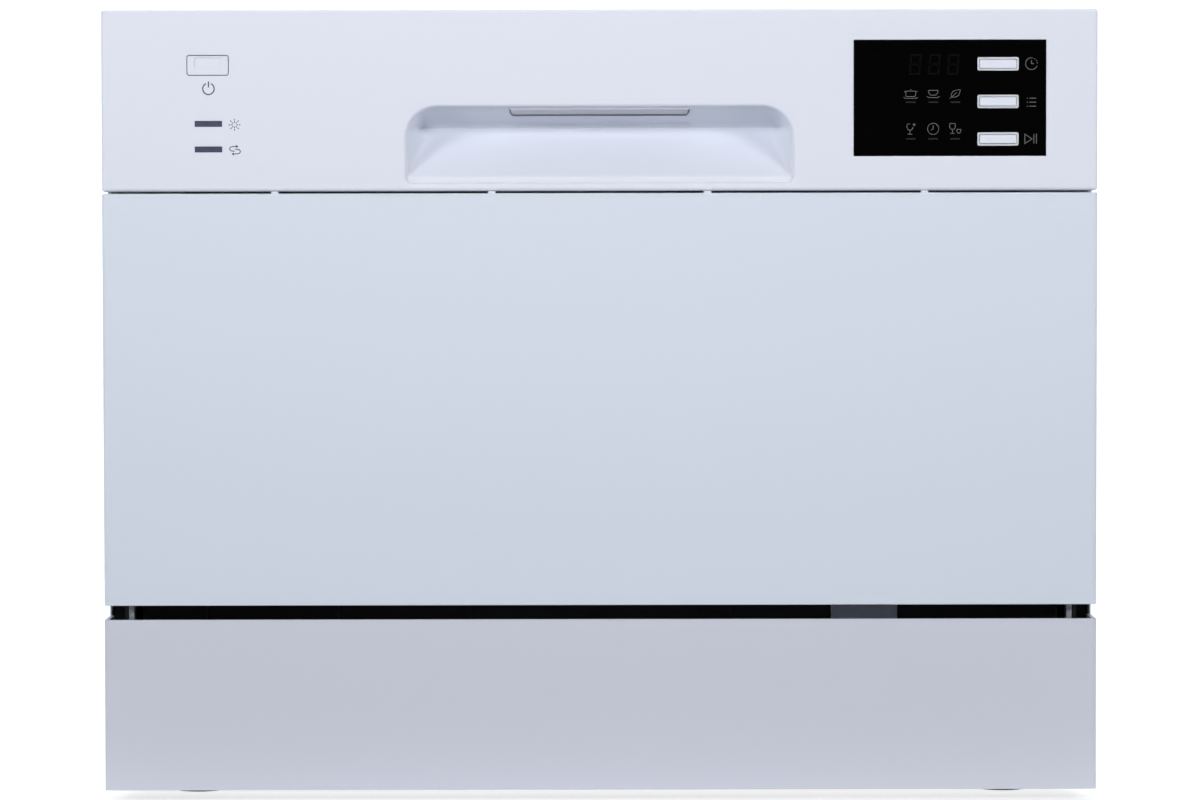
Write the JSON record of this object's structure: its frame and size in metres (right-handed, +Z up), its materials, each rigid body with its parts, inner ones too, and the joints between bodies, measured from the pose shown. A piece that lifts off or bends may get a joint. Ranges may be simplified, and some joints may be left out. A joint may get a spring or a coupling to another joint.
{
  "type": "countertop dishwasher",
  "caption": "Compact tabletop dishwasher with a drop-down front door, touch-button control panel, steel tub, rolling basket and cutlery holder.",
  "frame": {"origin": "on the floor under the centre of the machine", "axes": "+X to the right seen from the front, +Y to the rear, +Z up"},
  "size_m": [0.55, 0.5, 0.438],
  "materials": {
    "black_plastic": "satin, moulded",
    "white_paint": "satin enamel on steel sheet",
    "white_plastic": "satin, moulded",
    "stainless": "fine brushed",
    "felt": "matte needled felt",
    "rubber": "matte",
    "pale_plastic": "satin, moulded",
    "dark_plastic": "satin, moulded",
    "grey_plastic": "satin, moulded",
    "motor_casing": "satin",
    "zinc_steel": "zinc plated",
    "black_gloss": "polished",
    "circuit_board": "lacquered",
    "lens": "smooth",
    "bright_rim": "plated",
    "latch_grey": "satin, moulded",
    "basket_coating": "nylon coated wire"
  },
  "bodies": {
    "cabinet": {"base_tray": "black_plastic", "left_side_panel": "white_paint", "right_side_panel": "white_paint", "top_cover": "white_plastic", "rear_panel": "white_paint", "plinth": "white_plastic", "tub": "stainless", "tub_felt": "felt", "door_gasket": "rubber", "basket_rails": "pale_plastic", "sump": "dark_plastic", "filter_plate": "stainless", "inner_pipe": "grey_plastic", "wash_pump": "motor_casing", "drain_pump": "dark_plastic", "heater": "stainless", "water_softener": "pale_plastic", "air_breather": "pale_plastic", "inlet_valve": "pale_plastic", "drain_hose": "grey_plastic", "drain_spigot": "dark_plastic", "cord_gland": "black_plastic", "strike": "zinc_steel", "hinge_brackets": "zinc_steel", "door_springs": "zinc_steel", "loom_guard": "grey_plastic", "rubber_feet": "rubber", "cabinet_screws": "zinc_steel"},
    "door": {"control_panel": "white_plastic", "outer_door": "white_paint", "inner_door": "stainless", "display_window": "black_gloss", "control_boards": "circuit_board", "indicator_lenses": "lens", "button_bezels": "bright_rim", "latch_housing": "dark_plastic", "door_arms": "zinc_steel", "dispenser_body": "pale_plastic", "door_screws": "zinc_steel"},
    "basket": {"basket_floor": "basket_coating", "basket_walls": "basket_coating", "plate_tines": "basket_coating"},
    "power_button": {"power_button": "white_plastic"},
    "delay_button": {"delay_button": "white_plastic"},
    "program_button": {"program_button": "white_plastic"},
    "start_button": {"start_button": "white_plastic"},
    "latch_lever": {"latch_lever": "latch_grey"},
    "dispenser_lid": {"dispenser_lid": "pale_plastic"},
    "rinse_cap": {"rinse_cap": "grey_plastic"},
    "pump_rotor": {"pump_rotor": "zinc_steel"},
    "spray_arm": {"spray_arm": "grey_plastic"},
    "filter_cup": {"filter_cup": "dark_plastic"},
    "salt_cap": {"salt_cap": "pale_plastic"},
    "leak_float": {"leak_float": "pale_plastic"},
    "cutlery_basket": {"cutlery_basket": "grey_plastic"},
    "cup_shelf": {"cup_shelf": "basket_coating"},
    "front_left_wheel": {"front_left_wheel": "pale_plastic"},
    "front_right_wheel": {"front_right_wheel": "pale_plastic"},
    "rear_left_wheel": {"rear_left_wheel": "pale_plastic"},
    "rear_right_wheel": {"rear_right_wheel": "pale_plastic"}
  },
  "joints": [
    {"name": "door_hinge", "type": "hinge", "parent": "cabinet", "child": "door", "pos_m": [0, -0.236, 0.12], "axis": [1, 0, 0], "range_deg": [0, 90], "deforming": ["door_springs"]},
    {"name": "basket_slide", "type": "slide", "parent": "cabinet", "child": "basket", "axis": [0, -1, 0], "range_m": [0, 0.0786]},
    {"name": "front_left_wheel_spin", "type": "hinge", "parent": "basket", "child": "front_left_wheel", "pos_m": [-0.2276, -0.13392, 0.1613], "axis": [1, 0, 0], "range_deg": [0, 347]},
    {"name": "front_right_wheel_spin", "type": "hinge", "parent": "basket", "child": "front_right_wheel", "pos_m": [0.2276, -0.13392, 0.1613], "axis": [1, 0, 0], "range_deg": [0, 347]},
    {"name": "rear_left_wheel_spin", "type": "hinge", "parent": "basket", "child": "rear_left_wheel", "pos_m": [-0.2276, 0.10856, 0.1613], "axis": [1, 0, 0], "range_deg": [0, 347]},
    {"name": "rear_right_wheel_spin", "type": "hinge", "parent": "basket", "child": "rear_right_wheel", "pos_m": [0.2276, 0.10856, 0.1613], "axis": [1, 0, 0], "range_deg": [0, 347]},
    {"name": "cutlery_lift", "type": "slide", "parent": "basket", "child": "cutlery_basket", "axis": [0, 0, 1], "range_m": [0, 0.095]},
    {"name": "cup_shelf_fold", "type": "hinge", "parent": "basket", "child": "cup_shelf", "pos_m": [-0.222, 0, 0.25686], "axis": [0, -1, 0], "range_deg": [0, 80]},
    {"name": "spray_arm_spin", "type": "hinge", "parent": "cabinet", "child": "spray_arm", "pos_m": [0, -0.01725, 0.149], "axis": [0, 0, 1], "continuous": true},
    {"name": "pump_rotor_spin", "type": "hinge", "parent": "cabinet", "child": "pump_rotor", "pos_m": [0.15, -0.01725, 0.07], "axis": [1, 0, 0], "continuous": true},
    {"name": "filter_cup_twist", "type": "hinge", "parent": "cabinet", "child": "filter_cup", "pos_m": [0.044, -0.04325, 0.1], "axis": [0, 0, 1], "range_deg": [0, 60]},
    {"name": "salt_cap_twist", "type": "hinge", "parent": "cabinet", "child": "salt_cap", "pos_m": [-0.175, -0.13, 0.13], "axis": [0, 0, 1], "range_deg": [0, 90]},
    {"name": "leak_float_rise", "type": "slide", "parent": "cabinet", "child": "leak_float", "axis": [0, 0, 1], "range_m": [0, 0.012]},
    {"name": "power_button_press", "type": "slide", "parent": "door", "child": "power_button", "axis": [0, 1, 0], "range_m": [0, 0.002], "stiffness_N_per_m": 500, "springref_m": -0.002},
    {"name": "delay_button_press", "type": "slide", "parent": "door", "child": "delay_button", "axis": [0, 1, 0], "range_m": [0, 0.0008], "stiffness_N_per_m": 500, "springref_m": -0.002},
    {"name": "program_button_press", "type": "slide", "parent": "door", "child": "program_button", "axis": [0, 1, 0], "range_m": [0, 0.0008], "stiffness_N_per_m": 500, "springref_m": -0.002},
    {"name": "start_button_press", "type": "slide", "parent": "door", "child": "start_button", "axis": [0, 1, 0], "range_m": [0, 0.0008], "stiffness_N_per_m": 500, "springref_m": -0.002},
    {"name": "latch_lever_pull", "type": "hinge", "parent": "door", "child": "latch_lever", "pos_m": [0, -0.2195, 0.3894], "axis": [-1, 0, 0], "range_deg": [0, 8], "stiffness_Nm_per_rad": 1.5, "springref_deg": -17.19},
    {"name": "dispenser_lid_slide", "type": "slide", "parent": "door", "child": "dispenser_lid", "axis": [1, 0, 0], "range_m": [0, 0.058]},
    {"name": "rinse_cap_twist", "type": "hinge", "parent": "door", "child": "rinse_cap", "pos_m": [0.038, -0.215, 0.275], "axis": [0, 1, 0], "range_deg": [0, 90]}
  ],
  "couplings": [
    {"joint": "basket_slide", "follows": "door_hinge", "m_per_rad": 0.05},
    {"joint": "front_left_wheel_spin", "follows": "door_hinge", "ratio": 3.8462},
    {"joint": "front_right_wheel_spin", "follows": "door_hinge", "ratio": 3.8462},
    {"joint": "rear_left_wheel_spin", "follows": "door_hinge", "ratio": 3.8462},
    {"joint": "rear_right_wheel_spin", "follows": "door_hinge", "ratio": 3.8462}
  ]
}
